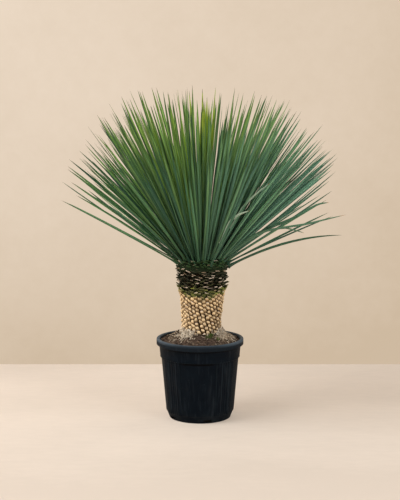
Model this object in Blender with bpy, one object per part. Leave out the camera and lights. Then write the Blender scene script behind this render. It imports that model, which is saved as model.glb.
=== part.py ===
"""A potted yucca: a moulded nursery container, its potting mix, the stem, and spiral rows of leaves on it.

Metres, +Z up. The origin is the centre of the container's flat underside, and the front faces -Y.
Run it with: blender --background --python part.py
"""

import math
import random

import bmesh
import bpy
from mathutils import Matrix, Vector, noise

# Container
POT_HEIGHT = 0.295
RIM_RADIUS = 0.160
RIM_DEPTH = 0.022
BAND_TOP_RADIUS = 0.1500
BAND_FOOT_RADIUS = 0.1458
LEDGE_BELOW_RIM = 0.068
WALL_TOP_RADIUS = 0.1446
WALL_FOOT_RADIUS = 0.1274
FOOT_RADIUS = 0.1135
FOOT_HEIGHT = 0.028
FOOT_SET_IN = 0.0055
WALL_THICKNESS = 0.0028
PANEL_RECESS = 0.0024
# A quarter of the wall from its wide panel round, as (degrees, recessed, divisions)
PANELS = ((57.0, True, 5), (10.0, False, 1), (15.0, True, 2), (8.0, False, 1))
QUARTERS = 4
FIRST_PANEL = math.radians(-121.5)
FLANK = math.radians(0.8)
DRAINS = 5
FIRST_DRAIN = math.radians(-76.0)
DRAIN_SIZE = (0.034, 0.030, 0.010)
DRAIN_Z = 0.009
FLOOR_HOLE_RADIUS = 0.009
FLOOR_HOLE_RING = 0.062
FLOOR_HOLE_SIDES = 12
EDGE = 0.003
SLOPE = 0.001

# Potting mix: it mounds up from the container's wall to the stem
FIT_GAP = 0.0006
MIX_TAPER = 0.001
MIX_BELOW_RIM = 0.014
MIX_BANK = (0.020, 0.011)
MIX_COLLAR = (0.016, 0.010)
MIX_STEM_Z = 0.320
STEM_FOOT_Z = 0.238

# Stem: its axis leans a little to +X as it rises
ROUND_SIDES = 28
STEM_X = 0.0055
STEM_LEAN = 0.015
STEM_RADIUS = 0.0785
STEM_TOP_SWELL = 0.006
STEM_FOOT_SWELL = 0.005
FOOT_TURNS = 4
SCALE_PITCH = 0.0170
SCALE_DEPTH = 0.0022
STUBS_FROM_Z = 0.455
STUBS_TO_Z = 0.538
STUB_RADIUS = 0.0868
STUB_FLARE = 0.08
STUB_PITCH = 0.0140
STUB_DEPTH = 0.0070
BASE_LIP = 0.78
BASE_LOBE = 0.45
HEAD_STEPS = 6
HEAD_TILTS = (1.12, 0.08)

# Crown: every leaf points away from one focus on the stem's axis
FOCUS_Z = 0.523
HEAD_SIDE = 0.102
HEAD_TOP = 0.130
HEAD_SHAPE = 1.5
ROWS = 34
LEAVES_PER_ROW = 15
GOLDEN_ANGLE = math.radians(137.50776)
ROW_TWIST = math.remainder(ROWS * GOLDEN_ANGLE, math.tau)
FIRST_AZIMUTH = math.radians(12.0)
WIDEST = math.radians(64.0)
NARROWEST = math.radians(16.0)
LOOSE_RISE = 0.30
LOOSE_SHARE = 0.04
FRONT_LIFT = 0.30
CLUMP_SIZE = 4.2
CLUMP_SHIFT = 0.11
CLUMP_STRIDE = 20.5
CLUMP_PLACE = Vector((20.6, 0.0, 0.0))
AIM_SPREAD = 0.010
GROWTH_SEED = 148000
REACH_LONG = 0.730
REACH_SHORT = 0.610
REACH_TURN = math.radians(45.0)
SIDE_TURN = math.radians(3.5)
REACH_SOFTNESS = math.radians(4.0)
SHORTEST_SHARE = 0.87
SIDE_REACH = 0.02
SAG_MOST = 0.030
ROLL_MOST = math.radians(70.0)
ROLL_BIAS = 0.75

# Blade and the strap of tissue under a row
BLADE_HALF_WIDTH = 0.0056
BLADE_HALF_THICKNESS = 0.0011
BLADE_STATIONS = ((0.15, 0.80), (0.70, 0.92))
STRAP_GAP = 0.0008
STRAP_HEIGHT = 0.004
STRAP_SHARE = 0.58
HEART_CELLS = (3, 4)
HEART_CELL = 0.0080
HEART_SPREAD = 9.0
HEART_REACH = 0.690
HEART_LEAF_SHARE = 0.6

# Old leaves under the rows, as azimuth, elevation (degrees), length and droop
LOW_LEAVES = (
    (3.0, 28.0, 0.475, 0.110),
    (68.0, 25.0, 0.430, 0.070),
    (107.0, 24.0, 0.410, 0.050),
)
LOW_LEAF_TILT = math.radians(70.0)
LOW_LEAF_STATIONS = ((0.12, 1.0), (0.36, 0.92), (0.60, 0.76), (0.82, 0.48))

# Finishes: name, colour, roughness
SHARP_OVER = math.radians(35.0)
PLASTIC = ("container_plastic", (0.012, 0.015, 0.019), 0.45)
MIX = ("potting_mix", (0.060, 0.040, 0.028), 0.95)
BARK = ("stem", (0.37, 0.24, 0.11), 0.85)
LEAF = ("leaf", (0.075, 0.150, 0.058), 0.50)


def clear_scene():
    for old in list(bpy.data.objects):
        bpy.data.objects.remove(old)


def material(name, colour, roughness):
    made = bpy.data.materials.get(name) or bpy.data.materials.new(name)
    made.use_nodes = True
    shader = made.node_tree.nodes["Principled BSDF"]
    shader.inputs["Base Color"].default_value = (*colour, 1.0)
    shader.inputs["Roughness"].default_value = roughness
    return made


def place(name, bm, finish):
    """Turns a bmesh into a named object with its material."""
    bmesh.ops.recalc_face_normals(bm, faces=bm.faces)
    mesh = bpy.data.meshes.new(name)
    bm.to_mesh(mesh)
    bm.free()
    mesh.shade_smooth()
    mesh.set_sharp_from_angle(angle=SHARP_OVER)
    mesh.materials.append(material(*finish))
    made = bpy.data.objects.new(name, mesh)
    bpy.context.scene.collection.objects.link(made)
    return made


def skin(bm, loops):
    """Joins loops of points into a tube, and closes its two ends."""
    rings = [[bm.verts.new(point) for point in loop] for loop in loops]
    for lower, upper in zip(rings, rings[1:]):
        for i in range(len(lower)):
            j = (i + 1) % len(lower)
            bm.faces.new((lower[i], lower[j], upper[j], upper[i]))
    bm.faces.new(rings[0][::-1])
    bm.faces.new(rings[-1])
    return rings


def ring(angles, radius, z, centre=Vector()):
    """A level loop of points; the radius is a number or a function of the point's place in the loop."""
    points = []
    for i, angle in enumerate(angles):
        r = radius(i) if callable(radius) else radius
        points.append(centre + Vector((r * math.cos(angle), r * math.sin(angle), z)))
    return points


def even_angles(count=ROUND_SIDES):
    return [math.tau * i / count for i in range(count)]


def pointing(tilt, azimuth):
    """Unit vector at that tilt from the vertical."""
    return Vector((math.sin(tilt) * math.cos(azimuth), math.sin(tilt) * math.sin(azimuth), math.cos(tilt)))


# ---------------------------------------------------------------- container


def wall_columns():
    """The angles at which the wall has an edge, each with how far the wall is recessed there."""
    columns = []
    start = FIRST_PANEL
    for _ in range(QUARTERS):
        for degrees, recessed, divisions in PANELS:
            span = math.radians(degrees)
            for i in range(divisions + 1):
                angle = start + FLANK / 2 + (span - FLANK) * i / divisions
                columns.append((angle, PANEL_RECESS if recessed else 0.0))
            start += span
    return columns


def make_pot():
    columns = wall_columns()
    angles = [angle for angle, _ in columns]
    ledge_z = POT_HEIGHT - LEDGE_BELOW_RIM
    under_rim = POT_HEIGHT - RIM_DEPTH
    panelled_top = [WALL_TOP_RADIUS - recess for _, recess in columns]
    panelled_foot = [WALL_FOOT_RADIUS - recess for _, recess in columns]
    inner_top = WALL_TOP_RADIUS - PANEL_RECESS - WALL_THICKNESS
    inner_foot = WALL_FOOT_RADIUS - PANEL_RECESS - WALL_THICKNESS
    profile = (
        (FOOT_RADIUS - EDGE, 0.0),
        (FOOT_RADIUS, EDGE),
        (WALL_FOOT_RADIUS - FOOT_SET_IN, FOOT_HEIGHT - EDGE),
        (panelled_foot.__getitem__, FOOT_HEIGHT),
        (panelled_top.__getitem__, ledge_z - SLOPE),
        (BAND_FOOT_RADIUS, ledge_z + SLOPE),
        (BAND_TOP_RADIUS, under_rim - SLOPE),
        (RIM_RADIUS - SLOPE, under_rim),
        (RIM_RADIUS, POT_HEIGHT - EDGE),
        (RIM_RADIUS - EDGE, POT_HEIGHT),
        (BAND_TOP_RADIUS - WALL_THICKNESS + 2 * SLOPE, POT_HEIGHT),
        (BAND_TOP_RADIUS - WALL_THICKNESS, POT_HEIGHT - EDGE),
        (BAND_FOOT_RADIUS - WALL_THICKNESS, ledge_z + SLOPE),
        (inner_top, ledge_z - EDGE),
        (inner_foot, FOOT_HEIGHT + SLOPE),
        (FOOT_RADIUS - WALL_THICKNESS, WALL_THICKNESS + EDGE),
        (FOOT_RADIUS - WALL_THICKNESS - EDGE, WALL_THICKNESS),
    )
    bm = bmesh.new()
    skin(bm, [ring(angles, radius, z) for radius, z in profile])
    pot = place("pot", bm, PLASTIC)
    for i in range(DRAINS):
        azimuth = FIRST_DRAIN + math.tau * i / DRAINS
        cut(pot, drain_cutter(azimuth))
        cut(pot, floor_hole_cutter(azimuth + math.pi / DRAINS))
    return pot


def drain_cutter(azimuth):
    """A block that opens a slot through the sloping foot."""
    bm = bmesh.new()
    place_at = Matrix.Rotation(azimuth, 4, "Z") @ Matrix.Translation((FOOT_RADIUS, 0.0, DRAIN_Z))
    bmesh.ops.create_cube(bm, size=1.0, matrix=place_at @ Matrix.Diagonal((*DRAIN_SIZE, 1.0)))
    return place("drain_cutter", bm, PLASTIC)


def floor_hole_cutter(azimuth):
    bm = bmesh.new()
    place_at = Matrix.Rotation(azimuth, 4, "Z") @ Matrix.Translation((FLOOR_HOLE_RING, 0.0, 0.0))
    bmesh.ops.create_cone(
        bm,
        cap_ends=True,
        segments=FLOOR_HOLE_SIDES,
        radius1=FLOOR_HOLE_RADIUS,
        radius2=FLOOR_HOLE_RADIUS,
        depth=4 * WALL_THICKNESS,
        matrix=place_at,
    )
    return place("floor_hole_cutter", bm, PLASTIC)


def cut(body, cutter):
    cutter.hide_render = True
    cutter.display_type = "WIRE"
    modifier = body.modifiers.new("cut", "BOOLEAN")
    modifier.operation = "DIFFERENCE"
    modifier.solver = "EXACT"
    modifier.object = cutter


# ------------------------------------------------------- stem and potting mix


def stem_axis(z):
    return Vector((STEM_X + STEM_LEAN * (z - MIX_STEM_Z), 0.0, 0.0))


def crown_focus():
    return stem_axis(FOCUS_Z) + Vector((0.0, 0.0, FOCUS_Z))


def head_distance(tilt):
    """How far the stem's growing head reaches from the focus at that tilt."""
    return HEAD_TOP + (HEAD_SIDE - HEAD_TOP) * (tilt / WIDEST) ** HEAD_SHAPE


def buried_foot(clearance=0.0):
    """Radius and height of the stem's buried foot, from its lowest point to the surface of the mix."""
    depth = MIX_STEM_Z - STEM_FOOT_Z
    radius = STEM_RADIUS + STEM_FOOT_SWELL
    turns = [math.radians(90.0) * i / FOOT_TURNS for i in range(1, FOOT_TURNS + 1)]
    return [
        ((radius + clearance) * math.sin(turn), MIX_STEM_Z - (depth + clearance) * math.cos(turn))
        for turn in turns
    ]


def leaf_bases(start_z, end_z, pitch, depth, radius):
    """Courses of old leaf bases round the stem. Each stands out at its top, in alternate lobes."""
    angles = even_angles()
    loops = []
    count = round((end_z - start_z) / pitch)
    step = (end_z - start_z) / count
    for course in range(count):
        low = start_z + step * course + SLOPE
        high = low + BASE_LIP * step
        lobes = [radius(high) - BASE_LOBE * depth * ((i + course) % 2) for i in range(len(angles))]
        loops.append(ring(angles, radius(low) - depth, low, stem_axis(low)))
        loops.append(ring(angles, lobes.__getitem__, high, stem_axis(high)))
    return loops


def make_stem():
    angles = even_angles()

    def scale_radius(z):
        share = (z - MIX_STEM_Z) / (STUBS_FROM_Z - MIX_STEM_Z)
        flare = max(0.0, 1 - 4 * share) ** 2
        return STEM_RADIUS + STEM_TOP_SWELL * share**3 + STEM_FOOT_SWELL * flare

    def stub_radius(z):
        return STUB_RADIUS + STUB_FLARE * (z - STUBS_FROM_Z)

    loops = [ring(angles, radius, z, stem_axis(z)) for radius, z in buried_foot()]
    loops += leaf_bases(MIX_STEM_Z, STUBS_FROM_Z, SCALE_PITCH, SCALE_DEPTH, scale_radius)
    loops += leaf_bases(STUBS_FROM_Z, STUBS_TO_Z, STUB_PITCH, STUB_DEPTH, stub_radius)
    lowest, highest = HEAD_TILTS
    for i in range(HEAD_STEPS):
        tilt = WIDEST * (lowest + (highest - lowest) * i / (HEAD_STEPS - 1))
        head = pointing(tilt, 0.0) * head_distance(tilt)
        loops.append(ring(angles, head.x, FOCUS_Z + head.z, stem_axis(FOCUS_Z)))
    bm = bmesh.new()
    skin(bm, loops)
    return place("stem", bm, BARK)


def make_mix():
    """The root ball fills the container, mounds up round the stem and holds the stem's buried foot."""
    angles = even_angles()
    ledge_z = POT_HEIGHT - LEDGE_BELOW_RIM
    rim_z = POT_HEIGHT - MIX_BELOW_RIM
    rise = (rim_z - ledge_z) / (POT_HEIGHT - ledge_z)
    shrink = WALL_THICKNESS + FIT_GAP + MIX_TAPER
    rim_radius = BAND_FOOT_RADIUS + (BAND_TOP_RADIUS - BAND_FOOT_RADIUS) * rise - shrink
    brim = buried_foot(FIT_GAP)[-1][0]
    profile = (
        (FOOT_RADIUS - shrink - EDGE, WALL_THICKNESS + FIT_GAP),
        (FOOT_RADIUS - shrink, WALL_THICKNESS + EDGE + SLOPE),
        (WALL_FOOT_RADIUS - PANEL_RECESS - shrink, FOOT_HEIGHT + SLOPE),
        (WALL_TOP_RADIUS - PANEL_RECESS - shrink, ledge_z - 2 * SLOPE),
        (BAND_FOOT_RADIUS - shrink, ledge_z + 2 * SLOPE),
        (rim_radius, rim_z),
        (rim_radius - MIX_BANK[0], rim_z + MIX_BANK[1]),
        (brim + MIX_COLLAR[0], MIX_STEM_Z - MIX_COLLAR[1]),
    )
    loops = [ring(angles, radius, z) for radius, z in profile]
    loops += [ring(angles, radius, z, stem_axis(z)) for radius, z in reversed(buried_foot(FIT_GAP))]
    bm = bmesh.new()
    skin(bm, loops)
    return place("potting_mix", bm, MIX)


# ---------------------------------------------------------------------- leaves


class Blade:
    """A leaf's blade: where it starts, where it points, how far it reaches and how it sags."""

    def __init__(self, base, aim, length, half_width, sag=0.0, roll=0.0):
        self.base = base
        self.aim = aim.normalized()
        self.length = length
        self.half_width = half_width
        self.sag = sag
        level = Vector((0.0, 0.0, 1.0)).cross(self.aim).normalized()
        self.side = Matrix.Rotation(roll, 3, self.aim) @ level

    def middle(self, share):
        return self.base + self.aim * self.length * share - Vector((0.0, 0.0, self.sag * share**2))

    def section(self, share, width_share):
        """The four corners of the blade, anticlockwise as seen from its tip."""
        across = self.side * self.half_width * width_share
        up = self.aim.cross(self.side) * BLADE_HALF_THICKNESS
        middle = self.middle(share)
        return [middle - across - up, middle + across - up, middle + across + up, middle - across + up]


def extruded(bm, face):
    return bmesh.ops.extrude_discrete_faces(bm, faces=[face])["faces"][0]


def grow(bm, face, blade, stations=BLADE_STATIONS):
    """Extrudes the blade from a quad, each corner to the nearest, and brings it to a point."""
    first = blade.section(*stations[0])

    def mismatch(turn):
        return sum((vert.co - first[(i + turn) % 4]).length for i, vert in enumerate(face.verts))

    turn = min(range(4), key=mismatch)
    for station in stations:
        face = extruded(bm, face)
        corners = blade.section(*station)
        for i, vert in enumerate(face.verts):
            vert.co = corners[(i + turn) % 4]
    face = extruded(bm, face)
    bmesh.ops.pointmerge(bm, verts=face.verts, merge_co=blade.middle(1.0))


def up_the_row(row, step):
    """Tilt and azimuth at a step up a row: whole steps are its leaves, oldest first."""
    share = (row + 0.5 + ROWS * step) / (ROWS * LEAVES_PER_ROW)
    rise = LOOSE_RISE * (1 - math.exp(-max(0.0, share) / LOOSE_SHARE)) + (1 - LOOSE_RISE) * share
    height = math.cos(WIDEST) + (math.cos(NARROWEST) - math.cos(WIDEST)) * rise
    return math.acos(height), FIRST_AZIMUTH + row * GOLDEN_ANGLE + step * ROW_TWIST


def shared_lean(outward):
    """The lean that neighbouring leaves share, which draws them together in clumps."""
    place = CLUMP_PLACE + outward * CLUMP_SIZE
    strides = (Vector((0.0, 0.0, CLUMP_STRIDE * axis)) for axis in range(3))
    return Vector(noise.noise(place + stride) for stride in strides) * CLUMP_SHIFT


def row_leaf(row, step):
    tilt, azimuth = up_the_row(row, step)
    outward = pointing(tilt, azimuth)
    start = head_distance(tilt) + STRAP_GAP + STRAP_HEIGHT
    dice = random.Random(GROWTH_SEED + ROWS * step + row)
    wander = Vector(dice.gauss(0.0, AIM_SPREAD) for _ in range(3))
    frontness = max(0.0, -math.sin(azimuth))
    upright = pointing(tilt * (1 - FRONT_LIFT * frontness**2), azimuth)
    aim = upright + shared_lean(outward) + wander
    spread = tilt / WIDEST
    shortened = REACH_TURN + SIDE_TURN * math.cos(azimuth)
    fall = 1 / (1 + math.exp((shortened - tilt) / REACH_SOFTNESS))
    reach = (REACH_LONG + (REACH_SHORT - REACH_LONG) * fall) * dice.uniform(SHORTEST_SHARE, 1.0)
    reach *= 1 - SIDE_REACH * spread * math.cos(azimuth)
    sag = SAG_MOST * dice.random() * spread**2
    turn = dice.uniform(-1.0, 1.0)
    roll = math.copysign(ROLL_MOST * abs(turn) ** (1 - ROLL_BIAS * spread**2), turn)
    return Blade(crown_focus() + outward * start, aim, reach - start, BLADE_HALF_WIDTH, sag, roll)


def strap_section(row, step):
    """The four corners of the strap between two leaves of a row."""
    tilt, azimuth = up_the_row(row, step)
    outward = pointing(tilt, azimuth)
    inner = head_distance(tilt) + STRAP_GAP
    side = Vector((0.0, 0.0, 1.0)).cross(outward).normalized()
    across = side * inner * math.sin(tilt) * math.pi / ROWS * STRAP_SHARE
    low = crown_focus() + outward * inner
    high = low + outward * STRAP_HEIGHT
    return [low + across, low - across, high - across, high + across]


def make_row(row):
    """One spiral row of leaves, joined by the strap of tissue that they grow from."""
    bm = bmesh.new()
    sections = [strap_section(row, step - 0.5) for step in range(LEAVES_PER_ROW + 1)]
    rings = skin(bm, sections)
    for step, (lower, upper) in enumerate(zip(rings, rings[1:])):
        cell = bm.faces.get((lower[2], lower[3], upper[3], upper[2]))
        grow(bm, cell, row_leaf(row, step))
    return place(f"leaf_row_{row + 1:02d}", bm, LEAF)


def heart_section(line):
    """A level slice of the growing point's tissue: along its underside, then back along its top."""
    columns, lines = HEART_CELLS
    base = crown_focus() + Vector((0.0, (line - lines / 2) * HEART_CELL, head_distance(0.0) + STRAP_GAP))
    across = [(columns / 2 - column) * HEART_CELL for column in range(columns + 1)]
    underside = [base + Vector((x, 0.0, 0.0)) for x in across]
    return underside + [point + Vector((0.0, 0.0, STRAP_HEIGHT)) for point in reversed(underside)]


def make_heart():
    """The youngest leaves, which stand upright on the stem's growing point."""
    columns, lines = HEART_CELLS
    bm = bmesh.new()
    rings = skin(bm, [heart_section(line) for line in range(lines + 1)])
    dice = random.Random(ROWS)
    for front, back in zip(rings, rings[1:]):
        for i in range(columns + 1, 2 * columns + 1):
            cell = bm.faces.get((front[i], front[i + 1], back[i + 1], back[i]))
            base = cell.calc_center_median()
            offset = base - crown_focus()
            aim = Vector((HEART_SPREAD * offset.x, HEART_SPREAD * offset.y, 1.0))
            reach = HEART_REACH * dice.uniform(SHORTEST_SHARE, 1.0) - offset.z
            grow(bm, cell, Blade(base, aim, reach, BLADE_HALF_WIDTH * HEART_LEAF_SHARE))
    return place("heart_leaves", bm, LEAF)


def make_low_leaf(number, azimuth, elevation, length, droop):
    """An old leaf that stands out from the stem just below the rows."""
    azimuth = math.radians(azimuth)
    outward = pointing(LOW_LEAF_TILT, azimuth)
    base = crown_focus() + outward * (head_distance(LOW_LEAF_TILT) + 2 * STRAP_GAP)
    aim = pointing(math.radians(90.0 - elevation), azimuth)
    blade = Blade(base, aim, length, BLADE_HALF_WIDTH, droop)
    bm = bmesh.new()
    rings = skin(bm, [blade.section(share, 1.0) for share in (0.0, 0.02)])
    grow(bm, bm.faces.get(rings[-1]), blade, LOW_LEAF_STATIONS)
    return place(f"low_leaf_{number}", bm, LEAF)


def main():
    clear_scene()
    make_pot()
    make_mix()
    make_stem()
    for row in range(ROWS):
        make_row(row)
    make_heart()
    for number, low_leaf in enumerate(LOW_LEAVES, 1):
        make_low_leaf(number, *low_leaf)


main()
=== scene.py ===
"""The potted yucca in full detail: leaves, leaf bases, potting mix, nursery container and finishes."""

import math
import random

import bpy
from mathutils import Matrix, Vector, noise


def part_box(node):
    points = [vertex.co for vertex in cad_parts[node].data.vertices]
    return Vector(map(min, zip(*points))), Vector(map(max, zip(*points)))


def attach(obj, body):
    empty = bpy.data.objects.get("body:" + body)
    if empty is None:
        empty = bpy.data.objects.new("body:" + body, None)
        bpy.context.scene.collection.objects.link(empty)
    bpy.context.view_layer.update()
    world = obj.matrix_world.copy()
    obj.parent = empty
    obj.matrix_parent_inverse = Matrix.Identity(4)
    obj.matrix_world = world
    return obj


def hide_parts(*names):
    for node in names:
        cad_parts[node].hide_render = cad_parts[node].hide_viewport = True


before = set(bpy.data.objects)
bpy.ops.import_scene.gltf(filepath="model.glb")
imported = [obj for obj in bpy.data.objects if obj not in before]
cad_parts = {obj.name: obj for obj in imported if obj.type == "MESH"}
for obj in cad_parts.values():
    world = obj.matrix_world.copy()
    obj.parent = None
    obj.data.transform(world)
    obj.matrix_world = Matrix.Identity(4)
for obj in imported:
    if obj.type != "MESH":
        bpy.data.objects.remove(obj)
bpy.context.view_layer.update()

UP = Vector((0.0, 0.0, 1.0))

# Container
POT_LOW, POT_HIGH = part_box("pot")
POT_HEIGHT = POT_HIGH.z
RIM_RADIUS = (POT_HIGH.x - POT_LOW.x) / 2
RIM_DEPTH = 0.022
LIP_ROUND = 0.0045
BAND_TOP_RADIUS = 0.1500
BAND_FOOT_RADIUS = 0.1458
LEDGE_Z = POT_HEIGHT - 0.068
WALL_TOP_RADIUS = 0.1446
WALL_FOOT_RADIUS = 0.1274
FOOT_RADIUS = 0.1135
FOOT_HEIGHT = 0.028
FOOT_SET_IN = 0.0055
WALL_THICKNESS = 0.0028
PANEL_RECESS = 0.0026
# A quarter of the wall from its wide panel round, as (degrees, recessed, beads)
PANELS = ((57.0, True, 0), (10.0, False, 2), (15.0, True, 3), (8.0, False, 2))
QUARTERS = 4
FIRST_PANEL = math.radians(-121.5)
FLANK = math.radians(0.7)
BEAD_HEIGHT = 0.0009
DRAINS = 5
FIRST_DRAIN = math.radians(-76.0)
DRAIN_SIZE = (0.034, 0.030, 0.010)
DRAIN_Z = 0.009
FLOOR_HOLE_RADIUS = 0.009
FLOOR_HOLE_RING = 0.062

# Potting mix
MIX_EDGE_Z = POT_HEIGHT - 0.0105
MIX_EDGE_RADIUS = BAND_TOP_RADIUS - WALL_THICKNESS - 0.0010
MIX_STEM_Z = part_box("potting_mix")[1].z
# The mix meets the stem this far from its axis
MIX_BRIM_RADIUS = 0.076
MIX_GAP = 0.0012

# Stem: its axis leans a little to +X as it rises
STEM_X = 0.0055
STEM_LEAN = 0.015

# Crown: every leaf points away from one focus on the stem's axis
HEAD_RISE = 0.12885
FOCUS_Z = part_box("stem")[1].z - HEAD_RISE
HEAD_SIDE = 0.102
HEAD_TOP = 0.130
HEAD_SHAPE = 1.5
ROWS = 34
LEAVES_PER_ROW = 15
GOLDEN_ANGLE = math.radians(137.50776)
ROW_TWIST = math.remainder(ROWS * GOLDEN_ANGLE, math.tau)
FIRST_AZIMUTH = math.radians(12.0)
WIDEST = math.radians(64.0)
NARROWEST = math.radians(16.0)
LOOSE_RISE = 0.30
LOOSE_SHARE = 0.04
FRONT_LIFT = 0.30
CLUMP_SIZE = 4.2
CLUMP_SHIFT = 0.11
CLUMP_STRIDE = 20.5
CLUMP_PLACE = Vector((20.6, 0.0, 0.0))
AIM_SPREAD = 0.010
GROWTH_SEED = 148000
REACH_LONG = 0.730
REACH_SHORT = 0.610
REACH_TURN = math.radians(45.0)
SIDE_TURN = math.radians(3.5)
REACH_SOFTNESS = math.radians(4.0)
SHORTEST_SHARE = 0.87
SIDE_REACH = 0.02
SAG_MOST = 0.030
ROLL_MOST = math.radians(70.0)
ROLL_BIAS = 0.75
LEAF_START = 0.0048
BLADE_HALF_WIDTH = 0.0056
BLADE_HALF_THICKNESS = 0.0010
OLD_SLIMMER = 0.18
# The width of the slimmer leaves that stand between a row's others
SLIM = 0.62
SLIM_STEPS = (4, 6, 8, 10)
SLIM_REACH = 0.92
# The most waxy bloom a leaf has, which also carries painted light on the crown's right side
BLOOM_AND_LIGHT_MOST = 0.90
HEART_CELLS = (3, 4)
HEART_CELL = 0.0080
HEART_SPREAD = 9.0
HEART_REACH = 0.690
# Low leaves, as (azimuth, elevation, length, droop)
LOW_LEAVES = (
    (3.0, 28.0, 0.475, 0.110),
    (68.0, 25.0, 0.430, 0.070),
    (107.0, 24.0, 0.410, 0.050),
)
LOW_LEAF_TILT = math.radians(70.0)
LOW_LEAF_ROLL = math.radians(-50.0)
LOW_LEAF_HALF_WIDTH = 0.0072

# Blade shape: shares of the length at which it has a section
STATIONS = (0, 0.012, 0.03, 0.06, 0.11, 0.18, 0.27, 0.37, 0.47, 0.57, 0.66, 0.74, 0.81, 0.87, 0.92, 0.96, 1)
# A section's outline from its left edge along the underside and back: (across, up)
SECTION = ((-1, 0), (-0.55, -0.8), (0, -1), (0.55, -0.8), (1, 0), (0.55, 0.8), (0, 1), (-0.55, 0.8))
KEEL = 0.20
BOW_MOST = 0.007
TWIST_MOST = math.radians(26.0)

SHARP_OVER = math.radians(40.0)
# Room kept clear at the edges and the ends of each tube's own strip of the bake map
STRIP_MARGIN = 0.06
STRIP_END = 0.002


# ---------------------------------------------------------------- shader maths


class Value:
    """A shader socket that takes part in Python maths. Each operation adds its Math node."""

    def __init__(self, finish, socket):
        self.finish = finish
        self.socket = socket

    def maths(self, operation, *terms):
        return self.finish.node("Math", {"operation": operation}, dict(enumerate(terms)))

    def __add__(self, other):
        return self.maths("ADD", self, other)

    def __radd__(self, other):
        return self.maths("ADD", other, self)

    def __sub__(self, other):
        return self.maths("SUBTRACT", self, other)

    def __rsub__(self, other):
        return self.maths("SUBTRACT", other, self)

    def __mul__(self, other):
        return self.maths("MULTIPLY", self, other)

    def __rmul__(self, other):
        return self.maths("MULTIPLY", other, self)

    def __abs__(self):
        return self.maths("ABSOLUTE", self)

    def at_least(self, other):
        return self.maths("MAXIMUM", self, other)

    def at_most(self, other):
        return self.maths("MINIMUM", self, other)

    def rises(self, start, end):
        """0 below start, 1 above end, and a soft step between them."""
        settings = {"interpolation_type": "SMOOTHSTEP"}
        return self.finish.node("MapRange", settings, {0: self, 1: start, 2: end})

    def falls(self, start, end):
        return 1 - self.rises(start, end)


class Finish:
    """A material, and the one way its nodes are added."""

    def __init__(self, name, specular):
        self.material = bpy.data.materials.new(name)
        self.material.use_nodes = True
        self.nodes = self.material.node_tree.nodes
        self.links = self.material.node_tree.links
        self.shader = self.nodes["Principled BSDF"]
        self.colour = None
        self.feed(self.shader, {"Specular IOR Level": specular})

    def feed(self, node, inputs):
        for name, value in inputs.items():
            socket = node.inputs[name]
            if isinstance(value, Value):
                self.links.new(value.socket, socket)
            elif socket.type == "RGBA":
                socket.default_value = (*value, 1.0)
            else:
                socket.default_value = value

    def node(self, kind, settings=None, inputs=None, output=0):
        made = self.nodes.new(f"ShaderNode{kind}")
        for name, setting in (settings or {}).items():
            if name == "stops":
                ramp = made.color_ramp.elements
                while len(ramp) < len(setting):
                    ramp.new(1.0)
                for element, (place, colour) in zip(ramp, setting):
                    element.position = place
                    element.color = (*colour, 1.0)
            else:
                setattr(made, name, setting)
        self.feed(made, inputs or {})
        return Value(self, made.outputs[output])

    def mark(self, name):
        return self.node("Attribute", {"attribute_name": name}, output="Fac")

    def place(self, x=1.0, y=1.0, z=1.0):
        """The point's place on the object in metres, stretched."""
        place = self.node("TexCoord", output="Object")
        return self.node("VectorMath", {"operation": "MULTIPLY"}, {0: place, 1: (x, y, z)})

    def axis(self, name):
        """The point's place along one axis, in metres."""
        return self.node("SeparateXYZ", None, {0: self.node("TexCoord", output="Object")}, name)

    def join(self, x, y, z=0.0):
        return self.node("CombineXYZ", None, {0: x, 1: y, 2: z})

    def mottle(self, place, scale, detail=4.0, roughness=0.55, distortion=0.0):
        inputs = {
            "Vector": place,
            "Scale": scale,
            "Detail": detail,
            "Roughness": roughness,
            "Distortion": distortion,
        }
        return self.node("TexNoise", None, inputs)

    def cells(self, place, scale):
        return self.node("TexVoronoi", None, {"Vector": place, "Scale": scale}, "Distance")

    def ramp(self, factor, *stops):
        return self.node("ValToRGB", {"stops": stops}, {0: factor})

    def mix(self, factor, first, second):
        return self.node("Mix", {"data_type": "RGBA"}, {0: factor, 6: first, 7: second}, 2)

    def coat(self, factor, colour):
        """Lays a colour over the one so far."""
        self.colour = self.mix(factor, self.colour, colour)

    def bump(self, height, distance, strength=1.0, below=None):
        inputs = {"Height": height, "Distance": distance, "Strength": strength}
        if below:
            inputs["Normal"] = below
        return self.node("Bump", None, inputs)

    def done(self, roughness, normal):
        self.feed(self.shader, {"Base Color": self.colour, "Roughness": roughness, "Normal": normal})
        return self.material


# -------------------------------------------------------------------- finishes


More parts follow.
